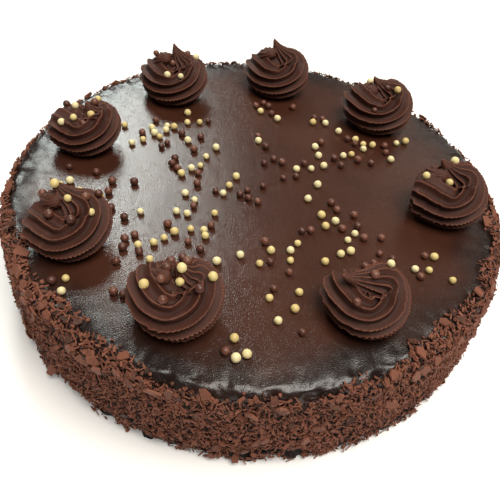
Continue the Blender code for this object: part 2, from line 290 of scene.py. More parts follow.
def scatter_tree():
    """Geometry Nodes: samples scattered over a surface, lying on it at a slant, made one mesh."""
    tree = bpy.data.node_groups.new("scattered_shavings", "GeometryNodeTree")
    for name, kind in (
        ("Geometry", "NodeSocketGeometry"),
        ("Samples", "NodeSocketCollection"),
        ("Per square metre", "NodeSocketFloat"),
        ("Seed", "NodeSocketInt"),
        ("Smallest", "NodeSocketFloat"),
        ("Largest", "NodeSocketFloat"),
        ("Slant", "NodeSocketFloat"),
        ("Lowest", "NodeSocketFloat"),
        ("Highest", "NodeSocketFloat"),
        ("Finish", "NodeSocketMaterial"),
    ):
        tree.interface.new_socket(name, in_out="INPUT", socket_type=kind)
    tree.interface.new_socket("Geometry", in_out="OUTPUT", socket_type="NodeSocketGeometry")
    given = add_node(tree, "NodeGroupInput").outputs
    cover = add_node(tree, "GeometryNodeInputNamedAttribute", {"data_type": "FLOAT"}, Name="cover")
    density = add_node(
        tree,
        "ShaderNodeMath",
        {"operation": "MULTIPLY"},
        {0: given["Per square metre"], 1: cover.outputs["Attribute"]},
    )
    points = add_node(
        tree,
        "GeometryNodeDistributePointsOnFaces",
        links={"Mesh": given["Geometry"], "Density": density.outputs[0], "Seed": given["Seed"]},
    )
    depth = add_node(
        tree,
        "FunctionNodeRandomValue",
        links={2: given["Lowest"], 3: given["Highest"], "Seed": given["Seed"]},
    )
    outward = add_node(
        tree,
        "ShaderNodeVectorMath",
        {"operation": "SCALE"},
        {0: points.outputs["Normal"], "Scale": depth.outputs[1]},
    )
    lifted = add_node(
        tree,
        "GeometryNodeSetPosition",
        links={"Geometry": points.outputs["Points"], "Offset": outward.outputs[0]},
    )
    down = add_node(tree, "ShaderNodeMath", {"operation": "MULTIPLY"}, {0: given["Slant"]})
    down.inputs[1].default_value = -1
    least = add_node(tree, "ShaderNodeCombineXYZ", links={0: down.outputs[0], 1: down.outputs[0]})
    most = add_node(tree, "ShaderNodeCombineXYZ", links={0: given["Slant"], 1: given["Slant"]})
    most.inputs[2].default_value = math.tau
    slant = add_node(
        tree,
        "FunctionNodeRandomValue",
        {"data_type": "FLOAT_VECTOR"},
        {0: least.outputs[0], 1: most.outputs[0], "Seed": given["Seed"]},
    )
    lean = add_node(tree, "FunctionNodeEulerToRotation", links={0: slant.outputs[0]})
    laid = add_node(
        tree,
        "FunctionNodeRotateRotation",
        {"rotation_space": "LOCAL"},
        {0: points.outputs["Rotation"], 1: lean.outputs[0]},
    )
    size = add_node(
        tree,
        "FunctionNodeRandomValue",
        links={2: given["Smallest"], 3: given["Largest"], "Seed": given["Seed"]},
    )
    samples = add_node(
        tree,
        "GeometryNodeCollectionInfo",
        links={"Collection": given["Samples"]},
        Separate_Children=True,
        Reset_Children=True,
    )
    scattered = add_node(
        tree,
        "GeometryNodeInstanceOnPoints",
        links={
            "Points": lifted.outputs["Geometry"],
            "Instance": samples.outputs[0],
            "Rotation": laid.outputs[0],
            "Scale": size.outputs[1],
        },
        Pick_Instance=True,
    )
    tint = add_node(tree, "FunctionNodeRandomValue", links={"Seed": given["Seed"]})
    tinted = add_node(
        tree,
        "GeometryNodeStoreNamedAttribute",
        {"data_type": "FLOAT", "domain": "INSTANCE"},
        {"Geometry": scattered.outputs[0], "Value": tint.outputs[1]},
        Name="tint",
    )
    real = add_node(tree, "GeometryNodeRealizeInstances", links={"Geometry": tinted.outputs[0]})
    coloured = add_node(
        tree,
        "GeometryNodeSetMaterial",
        links={"Geometry": real.outputs[0], "Material": given["Finish"]},
    )
    add_node(tree, "NodeGroupOutput", links={"Geometry": coloured.outputs[0]})
    return tree


def keep_evaluated(item):
    """Applies the modifiers, and leaves a plain mesh."""
    graph = bpy.context.evaluated_depsgraph_get()
    mesh = bpy.data.meshes.new_from_object(item.evaluated_get(graph))
    item.modifiers.clear()
    item.data = mesh


def made_by(tree, item, **inputs):
    """Runs a Geometry Nodes tree on an object with these inputs, and keeps the result as its mesh."""
    maker = item.modifiers.new("maker", "NODES")
    maker.node_group = tree
    for socket in tree.interface.items_tree:
        name = socket.name.replace(" ", "_")
        if socket.in_out == "INPUT" and name in inputs:
            maker[socket.identifier] = inputs[name]
    keep_evaluated(item)


# Dark couverture, scraped and broken: reddish brown, paler where it was scraped, nearly matt. Each
# shaving has its own shade, and its grain is finer than the render shows.
shaved, tree, place = new_finish("shaved_chocolate")
tint = add_node(tree, "ShaderNodeAttribute", {"attribute_name": "tint"})
grain = add_node(tree, "ShaderNodeTexNoise", links={"Vector": place}, Scale=900, Detail=3)
mixed = add_node(
    tree,
    "ShaderNodeMath",
    {"operation": "MULTIPLY_ADD"},
    {0: grain.outputs["Fac"], 2: tint.outputs["Fac"]},
)
mixed.inputs[1].default_value = 0.5
stops = add_node(tree, "ShaderNodeValToRGB", links={"Fac": mixed.outputs[0]})
colour = spread(stops, (0.15, "#271813"), (0.6, "#4c3026"), (1.0, "#7d4d3b"))
bump = add_node(
    tree, "ShaderNodeBump", links={"Height": grain.outputs["Fac"]}, Strength=0.35, Distance=0.3 * MM
)
surface = add_node(
    tree,
    "ShaderNodeBsdfPrincipled",
    links={"Base Color": colour, "Normal": bump.outputs["Normal"]},
    Roughness=0.65,
    Specular_IOR_Level=0.25,
)
add_node(tree, "ShaderNodeOutputMaterial", links={"Surface": surface.outputs["BSDF"]})


def carrier(climb, ragged, low):
    """The surface the shavings stick to, with how well they cover it: the side, the rolled edge of
    the glaze, and a little of its top. They climb past the glaze's lower edge, and most on either
    side of the front.
    """
    middle = (SIDE_RADIUS - SHOULDER_REACH, CAKE_HEIGHT - SHOULDER_DROP)
    rows = [(SIDE_RADIUS, low + (LEDGE - low) * row / CARRIER_ROWS) for row in range(CARRIER_ROWS + 1)]
    rows += quarter(middle, SHOULDER_REACH, SHOULDER_DROP, 8)
    rows += [(middle[0] - step * MM, CAKE_HEIGHT) for step in (2, 4, 6, 8)]
    points, faces, cover = [], [], []
    travel = low - LEDGE
    for row, (radius, height) in enumerate(rows):
        if row:
            travel += math.dist(rows[row - 1], rows[row])
        for side in range(CARRIER_SIDES):
            turn = math.tau * side / CARRIER_SIDES
            point = Vector((radius * math.cos(turn), radius * math.sin(turn), height))
            facing = math.cos(turn - BARE_SHOULDER)
            beside_the_front = min(BARE_FADE * (1 - facing), 1)
            beside_the_front *= min(max(facing + SIDE_SHARE, BACK_SHARE), 1)
            edge = climb + HIGHER_BESIDE * beside_the_front
            edge += ragged * noise.fractal(point * 55, 0.7, 2.3, 3)
            relief, share = felt_at(point)
            reach = radius + relief
            points.append((reach * math.cos(turn), reach * math.sin(turn), height))
            cover.append(share * clamp((edge - travel) / COVER_FADE))
            if row:
                after = (side + 1) % CARRIER_SIDES
                low_row, high_row = (row - 1) * CARRIER_SIDES, row * CARRIER_SIDES
                faces.append((low_row + side, low_row + after, high_row + after, high_row + side))
    strip = object_from("carrier", points, faces, shaved)
    strip.data.attributes.new("cover", "FLOAT", "POINT").data.foreach_set("value", cover)
    return strip


def set_down(item):
    """Nothing reaches below the table top."""
    for vertex in item.data.vertices:
        vertex.co.z = max(vertex.co.z, 0)


scatter = scatter_tree()
draw = random.Random(5)
fine = (draw, 1.9 * MM, 0.95 * MM, 0.32 * MM, 1, 0.0, shaved)
curled = (draw, 2.6 * MM, 1.2 * MM, 0.35 * MM, 2, 1.0, shaved)
thin = (draw, 2.7 * MM, 0.6 * MM, 0.3 * MM, 1, 0.0, shaved)
broad = (draw, 3.8 * MM, 1.9 * MM, 0.4 * MM, 3, 0.7, shaved)
kinds = (
    ("chocolate_grit", grit_of("grit", draw, 1.2 * MM, shaved), 200e3, 0.5, 1.5, 0.6, -0.6, 0.8, 5.4),
    ("broken_crumbs", grit_of("crumbs", draw, 2.0 * MM, shaved), 100e3, 0.5, 1.3, 0.6, -0.6, 0.5, 5.0),
    ("fine_shavings", shavings_of("fine", *fine), 330e3, 0.5, 1.5, 0.8, -0.3, 1.0, 4.8),
    ("curled_shavings", shavings_of("curled", *curled), 90e3, 0.5, 1.2, 0.8, 0.0, 1.0, 4.6),
    ("thin_splinters", shavings_of("thin", *thin), 230e3, 0.5, 1.3, 0.6, 0.2, 1.3, 4.6),
    ("broad_shavings", shavings_of("broad", *broad), 8e3, 0.6, 1.2, 0.6, 0.3, 1.2, 4.8),
)
for number, (name, samples, amount, small, large, slant, low, high, climb) in enumerate(kinds):
    flakes = carrier(climb * MM, RAGGED_RIM, 1.2 * MM)
    made_by(
        scatter,
        flakes,
        Samples=samples,
        Per_square_metre=amount,
        Seed=number + 3,
        Smallest=small,
        Largest=large,
        Slant=slant,
        Lowest=low * MM,
        Highest=high * MM,
        Finish=shaved,
    )
    flakes.name = name
    set_down(flakes)
    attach(flakes, "root")

# The glaze: dark chocolate melted with cream, poured warm over the top, drawn to the rim with a
# palette knife and let run over the shoulder. It has set smooth and glossy in the middle, and
# dimpled near the rim where the knife left it. A few chips of the coat lie on its rolled edge.
GAP = 0.3 * MM
SKIRT_GAP = 0.5 * MM
GLAZE_SIDES = 600
# From DARKER_FROM out to DARKER_TO the glaze is painted darker, as painted shade where the rolled edge
# curves away, and made rougher.
DARKER_FROM = 100 * MM
DARKER_TO = 124 * MM
KNIFE_MARKS = 0.2 * MM
MARKS_BEGIN = 86 * MM
MARKS_REACH = 34 * MM
MARKS_LEVEL = 0.35
SHOULDER_LUMPS = 1.4 * MM
LUMPS_BEGIN = 119 * MM
LUMPS_REACH = 6 * MM
LUMPS_RISE = 3 * MM
LUMPS_LIMIT = 0.2
RIPPLE = 0.05 * MM

glaze_gloss, tree, place = new_finish("poured_chocolate_glaze")
level = add_node(tree, "ShaderNodeVectorMath", {"operation": "MULTIPLY"}, {0: place})
level.inputs[1].default_value = (1, 1, 0)
from_axis = add_node(tree, "ShaderNodeVectorMath", {"operation": "LENGTH"}, {0: level.outputs[0]})
rim_shade_and_dullness = add_node(
    tree,
    "ShaderNodeMapRange",
    links={"Value": from_axis.outputs["Value"]},
    From_Min=DARKER_FROM,
    From_Max=DARKER_TO,
)
cloud = add_node(tree, "ShaderNodeTexNoise", links={"Vector": place}, Scale=28, Detail=5)
# The colour is painted darker towards the rim, painted shade over the random clouding; the darkest stop is
# that shade.
depth = add_node(
    tree,
    "ShaderNodeMath",
    {"operation": "MULTIPLY_ADD"},
    {0: rim_shade_and_dullness.outputs["Result"], 2: cloud.outputs["Fac"]},
)
depth.inputs[1].default_value = -0.45
stops = add_node(tree, "ShaderNodeValToRGB", links={"Fac": depth.outputs[0]})
colour = spread(stops, (0.0, "#1c110e"), (0.35, "#3b2016"), (0.7, "#45271c"))
specks = add_node(tree, "ShaderNodeTexNoise", links={"Vector": place}, Scale=1700, Detail=1)
streaks = add_node(tree, "ShaderNodeTexNoise", links={"Vector": place}, Scale=170, Detail=4)
mottled = add_node(
    tree,
    "ShaderNodeMath",
    {"operation": "ADD"},
    {0: streaks.outputs["Fac"], 1: specks.outputs["Fac"]},
)
gloss = add_node(
    tree,
    "ShaderNodeMapRange",
    links={"Value": mottled.outputs[0]},
    From_Min=0.8,
    From_Max=1.25,
    To_Min=0.08,
    To_Max=0.22,
)
rougher = add_node(
    tree,
    "ShaderNodeMath",
    {"operation": "MULTIPLY_ADD"},
    {0: rim_shade_and_dullness.outputs["Result"], 2: gloss.outputs["Result"]},
)
rougher.inputs[1].default_value = 0.12
fine_bump = add_node(
    tree, "ShaderNodeBump", links={"Height": specks.outputs["Fac"]}, Strength=0.75, Distance=0.2 * MM
)
bump = add_node(
    tree,
    "ShaderNodeBump",
    links={"Height": streaks.outputs["Fac"], "Normal": fine_bump.outputs["Normal"]},
    Strength=0.3,
    Distance=0.4 * MM,
)
surface = add_node(
    tree,
    "ShaderNodeBsdfPrincipled",
    links={
        "Base Color": colour,
        "Roughness": rougher.outputs[0],
        "Normal": bump.outputs["Normal"],
    },
    Specular_IOR_Level=0.42,
    Coat_Weight=0.25,
    Coat_Roughness=0.36,
)
add_node(tree, "ShaderNodeOutputMaterial", links={"Surface": surface.outputs["BSDF"]})

ledge = LEDGE + GAP
inside = SIDE_RADIUS - SKIRT_THICKNESS + SKIRT_GAP
under = CAKE_HEIGHT - GLAZE_DEPTH + GAP
corner = quarter((inside - CORE_CORNER, under - CORE_CORNER), CORE_CORNER, CORE_CORNER, 4)
middle = (SIDE_RADIUS - SHOULDER_REACH, CAKE_HEIGHT - SHOULDER_DROP)
shoulder = quarter(middle, SHOULDER_REACH, SHOULDER_DROP, 14)
flat = [(middle[0] * (1 - row / 60), CAKE_HEIGHT) for row in range(1, 60)]
lining = [(0, under), *reversed(corner), (inside, ledge)]
outline = [*lining, (SIDE_RADIUS, ledge), *shoulder, *flat, (0, CAKE_HEIGHT)]
glaze = turned("poured_glaze", outline, GLAZE_SIDES, glaze_gloss)
outward = [vertex.normal.copy() for vertex in glaze.data.vertices]
for vertex, normal in zip(glaze.data.vertices, outward):
    x, y, z = vertex.co
    out = math.hypot(x, y)
    if z < ledge + 0.1 * MM or out < inside and z < CAKE_HEIGHT - GLAZE_DEPTH / 2:
        continue
    near_rim = clamp((out - MARKS_BEGIN) / MARKS_REACH) ** 1.5
    marks = noise.fractal(Vector((x, y, z)) * 190, 0.7, 2.1, 3)
    wave = noise.noise(Vector((x, y, z)) * 30)
    at_shoulder = clamp((out - LUMPS_BEGIN) / LUMPS_REACH) * clamp((z - ledge) / LUMPS_RISE)
    lumps = min(noise.fractal(Vector((x, y, z)) * 160, 0.8, 2.1, 2), LUMPS_LIMIT)
    dent = near_rim * KNIFE_MARKS * (marks - MARKS_LEVEL)
    dent += at_shoulder * SHOULDER_LUMPS * (lumps - LUMPS_LIMIT)
    vertex.co += normal * (dent + RIPPLE * wave)
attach(glaze, "root")
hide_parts("chocolate_glaze")

# The broad chips: flat broken pieces of the same chocolate, some of them on the rolled edge of the
# glaze and the rest among the shavings, where their faces catch the light.


def chip(draw, length, width, thickness):
    """Points and faces of a flat broken piece with five uneven corners, bent a little."""
    corners = []
    for corner in range(5):
        turn = math.tau * (corner + draw.uniform(-0.3, 0.3)) / 5
        reach = draw.uniform(0.75, 1.1) / 2
        corners.append((length * reach * math.cos(turn), width * reach * math.sin(turn)))
    bend = draw.uniform(-0.12, 0.2) / length
    points = [(x, y, bend * x * x) for x, y in corners]
    points += [(x * 0.93, y * 0.93, thickness + bend * x * x) for x, y in corners]
    faces = [(4, 3, 2, 1, 0), (5, 6, 7, 8, 9)]
    faces += [(side, (side + 1) % 5, (side + 1) % 5 + 5, side + 5) for side in range(5)]
    return points, faces


samples = bpy.data.collections.new("chips")
for number in range(KINDS_OF_SHAVING):
    sizes = (6.0 * MM * draw.uniform(0.7, 1.3), 4.2 * MM * draw.uniform(0.7, 1.3), 0.6 * MM)
    sample = object_from(f"chip_{number}", *chip(draw, *sizes), shaved, False)
    bpy.context.scene.collection.objects.unlink(sample)
    samples.objects.link(sample)
for name, amount, seed, small, large, slant, low, high, climb, foot in (
    ("coat_chips", 4e3, 21, 0.6, 1.4, 0.45, 0.9, 1.6, 3.0, 3),
    ("rim_chips", 20e3, 22, 0.7, 1.4, 0.35, 0.5, 1.4, 5.0, 42),
):
    chips = carrier(climb * MM, RAGGED_RIM, foot * MM)
    made_by(
        scatter,
        chips,
        Samples=samples,
        Per_square_metre=amount,
        Seed=seed,
        Smallest=small,
        Largest=large,
        Slant=slant,
        Lowest=low * MM,
        Highest=high * MM,
        Finish=shaved,
    )
    chips.name = name
    set_down(chips)
    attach(chips, "root")

# The rosettes: chocolate buttercream, stiff and matt, piped in one stroke through a star nozzle.
# The rope starts in a small coil at the left, swells along the front, curls back over itself and
# is pulled to a peak as the bag is lifted. Its ribs have thin ragged edges, painted paler than the
# grooves as painted highlight and shade.
STRAIGHT_START = (
    (-16.0, 1.0, 9.4, 9.2),
    (-12.5, -0.4, 9.8, 12.2),
    (-8.0, -3.2, 9.9, 12.6),
)
CURLED_START = (
    (-8.6, 9.5, 9.6, 8.4),
    (-8.6, 5.2, 10.4, 12.2),
    (-6.8, -0.8, 10.2, 12.8),
)
FRONT_AND_CURL = (
    (-2.4, -6.8, 9.0, 12.2),
    (2.6, -8.8, 8.6, 11.4),
    (7.2, -5.4, 10.0, 11.8),
    (8.0, 0.2, 13.0, 12.2),
    (5.8, 3.4, 17.2, 11.0),
)
PULLED_TAIL = (
    (0.4, 0.32, 6.4),
    (0.72, 0.6, 3.6),
    (0.92, 0.84, 1.5),
    (1.0, 1.0, 0.3),
)
COILED_HEART = (
    (0.5, 3.0, 0.3, 7.5),
    (-2.5, 6.0, 0.45, 7.5),
    (-6.0, 4.0, 0.6, 7.0),
    (-4.5, 1.5, 0.73, 4.6),
    (-3.0, 2.5, 0.82, 1.0),
)
HEART_RINGS = 60
HEART_RIB_DEPTH = 0.13
ROPE_RIBS = 13
RIB_DEPTH = 0.3
RIB_VARIATION = 0.25
RIB_SHARPNESS = 0.8
START_SHARE = 0.45
START_FILLED = 0.75
ROPE_WIDENED = 1.12
ROPE_FLATTENED = 0.92
ROPE_TWIST = 0.3
FIRST_RIB = 0.35
ROPE_RINGS = 120
ROPE_SIDES = 130
FOOT_RADIUS = 13 * MM
FOOT_HEIGHT = 6 * MM
FOOT_SIDES = 60
SKIN_GRAIN = 0.45 * MM
RIDGE_CONTRAST = 2.2
ROSETTES = (
    (-5.5, 99.0, STRAIGHT_START, 1.00, (-6.0, 4.5, 28.5), 3, "ppp"),
    (44.4, 98.0, CURLED_START, 1.02, (-5.0, 4.0, 27.5), 4, "pbpbpb"),
    (86.2, 98.5, CURLED_START, 1.00, (-3.5, 5.0, 31.0), 0, ""),
    (126.2, 98.0, CURLED_START, 1.00, (0.0, 5.0, 31.0), 5, "pbpbpb"),
    (168.4, 100.0, STRAIGHT_START, 0.95, (2.0, 3.5, 25.0), 6, "ppbpbpbpb"),
    (213.6, 101.5, STRAIGHT_START, 0.97, (-7.0, 7.0, 31.0), 6, "pbbpbpbbpb"),
    (252.6, 97.0, CURLED_START, 0.98, (0.5, 3.0, 28.0), 6, "bpbpbbpbpb"),
    (301.5, 98.5, CURLED_START, 0.90, (-14.0, -1.0, 26.5), 3, "bpb"),
)

# Buttercream with cocoa: its fat gives a soft sheen but no gloss. Its colour is painted redder and
# paler on the thin edges of the ribs, a painted highlight, and deep brown in the grooves, painted shade.
cream, tree, place = new_finish("chocolate_buttercream")
ridge = add_node(tree, "ShaderNodeAttribute", {"attribute_name": "ridge"})
# The ridge value sets the painted highlight on the rib edges and the painted shade in the grooves.
stops = add_node(tree, "ShaderNodeValToRGB", links={"Fac": ridge.outputs["Fac"]})
colour = spread(stops, (0.32, "#311b14"), (0.62, "#502f25"), (1.0, "#734736"))
grain = add_node(tree, "ShaderNodeTexNoise", links={"Vector": place}, Scale=700, Detail=4)
pits = add_node(tree, "ShaderNodeTexVoronoi", links={"Vector": place}, Scale=260)
fine_bump = add_node(
    tree, "ShaderNodeBump", links={"Height": grain.outputs["Fac"]}, Strength=0.3, Distance=0.25 * MM
)
bump = add_node(
    tree,
    "ShaderNodeBump",
    links={"Height": pits.outputs["Distance"], "Normal": fine_bump.outputs["Normal"]},
    Strength=0.1,
    Distance=0.3 * MM,
)
surface = add_node(
    tree,
    "ShaderNodeBsdfPrincipled",
    links={"Base Color": colour, "Normal": bump.outputs["Normal"]},
    Roughness=0.6,
    Specular_IOR_Level=0.17,
)
add_node(tree, "ShaderNodeOutputMaterial", links={"Surface": surface.outputs["BSDF"]})


def smooth_path(stations, count):
    """Evenly spaced stations on a Catmull-Rom curve through the given ones."""
    held = [stations[0], *stations, stations[-1]]
    spans = len(stations) - 1
    path = []
    for step in range(count):
        share = step / (count - 1) * spans
        span = min(int(share), spans - 1)
        t = share - span
        a, b, c, d = (Vector(station) for station in held[span : span + 4])
        bend = (2 * a - 5 * b + 4 * c - d) * t**2 + (3 * b - a - 3 * c + d) * t**3
        path.append(0.5 * (2 * b + (c - a) * t + bend))
    return path


def star_rings(path, sides, seed, rib_depth):
    """Star sections along the rope, with thin ribs whose edges are a little torn."""
    rings = []
    heading = None
    for number, station in enumerate(path):
        before, after = path[max(number - 1, 0)], path[min(number + 1, len(path) - 1)]
        travel = Vector((after - before)[:3]).normalized()
        turn = math.atan2(travel.y, travel.x)
        if heading is None:
            heading = turn
        heading += (turn - heading + math.pi) % math.tau - math.pi
        side = Vector((math.sin(heading), -math.cos(heading), 0))
        rise = side.cross(travel).normalized()
        ring = []
        for corner in range(sides):
            around = math.tau * corner / sides
            angle = around + ROPE_TWIST * heading + FIRST_RIB
            groove = abs(math.sin(ROPE_RIBS * around / 2)) ** RIB_SHARPNESS
            rib = round(ROPE_RIBS * around / math.tau) % ROPE_RIBS
            torn = noise.fractal(Vector((number * 0.3, rib * 7.3, seed * 11.1)), 0.6, 2.2, 1)
            uneven = noise.noise(Vector((number * 0.02, rib * 3.7, seed * 5.1)))
            near_start = max(1 - number / (START_SHARE * len(path)), 0)
            filled = START_FILLED * near_start * max(math.sin(angle), 0)
            depth = rib_depth * (1 + RIB_VARIATION * uneven) * groove * (1 - filled)
            radius = station[3] * (1 - depth) * (1 + (0.02 * torn + 0.04 * uneven) * (1 - groove))
            across = ROPE_WIDENED * math.cos(angle) * side + ROPE_FLATTENED * math.sin(angle) * rise
            point = Vector(station[:3]) + radius * across
            ring.append(Vector((point.x, point.y, max(point.z, 0))))
        rings.append(ring)
    return rings


def mark_ridges(mesh):
    """Stores how far each point stands out of its neighbours, from 0 in a groove to 1 on an edge."""
    count = len(mesh.vertices)
    ends = [edge.vertices[:] for edge in mesh.edges]
    rise, near = [0.0] * count, [0] * count
    places = [vertex.co for vertex in mesh.vertices]
    outward = [vertex.normal for vertex in mesh.vertices]
    for a, b in ends:
        step = places[a] - places[b]
        length = step.length or 1
        rise[a] += step.dot(outward[a]) / length
        rise[b] -= step.dot(outward[b]) / length
        near[a] += 1
        near[b] += 1
    value = [r / max(n, 1) for r, n in zip(rise, near)]
    for _ in range(2):
        total = [0.0] * count
        for a, b in ends:
            total[a] += value[b]
            total[b] += value[a]
        value = [(v + t / max(n, 1)) / 2 for v, t, n in zip(value, total, near)]
    value = [clamp(0.5 + v * RIDGE_CONTRAST) for v in value]
    mesh.attributes.new("ridge", "FLOAT", "POINT").data.foreach_set("value", value)


rosettes = []
for number, (angle, distance, start, size, peak, *_) in enumerate(ROSETTES, 1):
    curl = Vector(FRONT_AND_CURL[-1][:3])
    pull = Vector(peak) - curl
    tail = [
        (*(curl + Vector((across * pull.x, across * pull.y, up * pull.z))), radius)
        for across, up, radius in PULLED_TAIL
    ]
    path = smooth_path((*start, *FRONT_AND_CURL, *tail), ROPE_RINGS)
    around = math.radians(angle)
    middle = Vector((distance * MM * math.cos(around), distance * MM * math.sin(around), CAKE_HEIGHT + GAP))
    place = Matrix.Translation(middle) @ Matrix.Scale(size * MM, 4)
    rope = star_rings(path, ROPE_SIDES, number, RIB_DEPTH)
    rings = [[place @ point for point in ring] for ring in rope]
    ends = [place @ Vector(station[:3]) for station in (path[0], path[-1])]
    rosette = skinned(f"piped_rosette_{number}", rings, *ends, cream)
    stations = [(x, y, height * peak[2], radius) for x, y, height, radius in COILED_HEART]
    coil = smooth_path(stations, HEART_RINGS)
    inner_rope = star_rings(coil, ROPE_SIDES, number, HEART_RIB_DEPTH)
    heart_rings = [[place @ point for point in ring] for ring in inner_rope]
    ends = [place @ Vector(station[:3]) for station in (coil[0], coil[-1])]
    heart = skinned("heart", heart_rings, *ends, cream)
    turns = [math.tau * step / FOOT_SIDES for step in range(FOOT_SIDES)]
    foot_rings = [
        [middle + Vector((radius * math.cos(turn), radius * math.sin(turn), height)) for turn in turns]
        for radius, height in ((FOOT_RADIUS * 0.9, 0), (FOOT_RADIUS, FOOT_HEIGHT))
    ]
    foot = skinned("foot", foot_rings, middle, middle + Vector((0, 0, FOOT_HEIGHT)), cream)
    whole = bmesh.new()
    for part in (rosette, heart, foot):
        whole.from_mesh(part.data)
    whole.to_mesh(rosette.data)
    whole.free()
    bpy.data.objects.remove(heart)
    bpy.data.objects.remove(foot)
    skin = rosette.modifiers.new("one_skin", "REMESH")
    skin.mode = "VOXEL"
    skin.voxel_size = SKIN_GRAIN
    skin.use_smooth_shade = True
    keep_evaluated(rosette)
    mark_ridges(rosette.data)
    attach(rosette, "root")
    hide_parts(f"rosette_{number}")
    rosettes.append((rosette, middle))

# The pearls: puffed grains coated in chocolate, about 4 mm across, some in pale yellow chocolate
# and some in brown. They were dropped by the handful on the soft glaze and cream, and are uneven,
# matt, and sunk in a little where they landed.
PEARL_RADIUS = 1.95 * MM
PEARL_VARIATION = 0.12
PEARL_SINK = 0.45 * MM
PEARL_SINK_IN_CREAM = 0.9 * MM
PEARL_CLEARANCE = 0.5 * MM
THROWS = 30
REACH = 22 * MM
PEARLS_LAND_WITHIN = 16 * MM
PALE_SHARE = 0.46
HANDFULS = (
    (-68, 28, 8, 13),
    (-50, 45, 7, 6),
    (-26, 23, 7, 5),
    (-40, 5, 5, 6),
    (-14, -10, 9, 11),
    (-31, -26, 6, 5),
    (-68, -30, 8, 7),
    (-54, -54, 7, 9),
    (-22, -54, 9, 11),
    (6, -58, 6, 8),
    (5, 72, 9, 7),
    (62, 39, 9, 17),
    (41, 60, 4, 3),
    (40, 22, 8, 7),
    (17, 8, 8, 8),
    (2, 35, 5, 3),
    (42, -36, 10, 17),
    (66, -56, 9, 9),
    (92, -54, 6, 4),
    (20, -90, 8, 6),
    (-80, -84, 3, 3),
    (-56, -86, 3, 2),
    (-3, -112, 5, 4),
    (-94, -18, 6, 4),
)


def pearls_on_glaze():
    """(place, radius) of the pearls between the rosettes, clear of them and of each other."""
    draw = random.Random(11)
    middles = [(middle.x, middle.y) for _, middle in rosettes]
    kept = []
    for x, y, spread_out, count in HANDFULS:
        for _ in range(count):
            for _ in range(THROWS):
                spot = (draw.gauss(x, spread_out) * MM, draw.gauss(y, spread_out) * MM)
                radius = PEARL_RADIUS * (1 + draw.uniform(-1, 1) * PEARL_VARIATION)
                on_glaze = math.hypot(*spot) < SIDE_RADIUS - SHOULDER_REACH - radius
                clear = all(math.dist(spot, middle) > REACH + radius for middle in middles)
                apart = all(math.dist(spot, (a, b)) > radius + c + PEARL_CLEARANCE for a, b, c in kept)
                if on_glaze and clear and apart:
                    kept.append((*spot, radius))
                    break
    return [(Vector((x, y, CAKE_HEIGHT + radius - PEARL_SINK)), radius) for x, y, radius in kept]


def pearls_on_cream(rosette, middle, draw, count):
    """(place, radius) of the pearls that land on one rosette, dropped from above."""
    surface = bmesh.new()
    surface.from_mesh(rosette.data)
    shape = BVHTree.FromBMesh(surface)
    surface.free()
    dropped = []
    while len(dropped) < count:
        away, spin = draw.uniform(0, PEARLS_LAND_WITHIN), draw.uniform(0, math.tau)
        above = middle + Vector((away * math.cos(spin), away * math.sin(spin), CAKE_HEIGHT))
        hit = shape.ray_cast(above, Vector((0, 0, -1)))[0]
        radius = PEARL_RADIUS * (1 + draw.uniform(-1, 1) * PEARL_VARIATION)
        if hit and all((hit - other).length > size_of + 2 * radius for other, size_of in dropped):
            dropped.append((hit, radius))
    return [(hit + Vector((0, 0, radius - PEARL_SINK_IN_CREAM)), radius) for hit, radius in dropped]


def pearl_tree():
    """Geometry Nodes: an uneven pearl on every point, as large as the point's radius."""
    tree = bpy.data.node_groups.new("dropped_pearls", "GeometryNodeTree")
    for name, kind in (
        ("Geometry", "NodeSocketGeometry"),
        ("Samples", "NodeSocketCollection"),
        ("Seed", "NodeSocketInt"),
        ("Finish", "NodeSocketMaterial"),
    ):
        tree.interface.new_socket(name, in_out="INPUT", socket_type=kind)
    tree.interface.new_socket("Geometry", in_out="OUTPUT", socket_type="NodeSocketGeometry")
    given = add_node(tree, "NodeGroupInput").outputs
    radius = add_node(tree, "GeometryNodeInputNamedAttribute", {"data_type": "FLOAT"}, Name="radius")
    roll = add_node(
        tree,
        "FunctionNodeRandomValue",
        {"data_type": "FLOAT_VECTOR"},
        {"Seed": given["Seed"]},
    )
    roll.inputs[1].default_value = (math.tau, math.tau, math.tau)
    samples = add_node(
        tree,
        "GeometryNodeCollectionInfo",
        links={"Collection": given["Samples"]},
        Separate_Children=True,
        Reset_Children=True,
    )
    laid = add_node(
        tree,
        "GeometryNodeInstanceOnPoints",
        links={
            "Points": given["Geometry"],
            "Instance": samples.outputs[0],
            "Rotation": roll.outputs[0],
            "Scale": radius.outputs["Attribute"],
        },
        Pick_Instance=True,
    )
    tint = add_node(tree, "FunctionNodeRandomValue", links={"Seed": given["Seed"]})
    tinted = add_node(
        tree,
        "GeometryNodeStoreNamedAttribute",
        {"data_type": "FLOAT", "domain": "INSTANCE"},
        {"Geometry": laid.outputs[0], "Value": tint.outputs[1]},
        Name="tint",
    )
    real = add_node(tree, "GeometryNodeRealizeInstances", links={"Geometry": tinted.outputs[0]})
    coloured = add_node(
        tree,
        "GeometryNodeSetMaterial",
        links={"Geometry": real.outputs[0], "Material": given["Finish"]},
    )
    add_node(tree, "NodeGroupOutput", links={"Geometry": coloured.outputs[0]})
    return tree


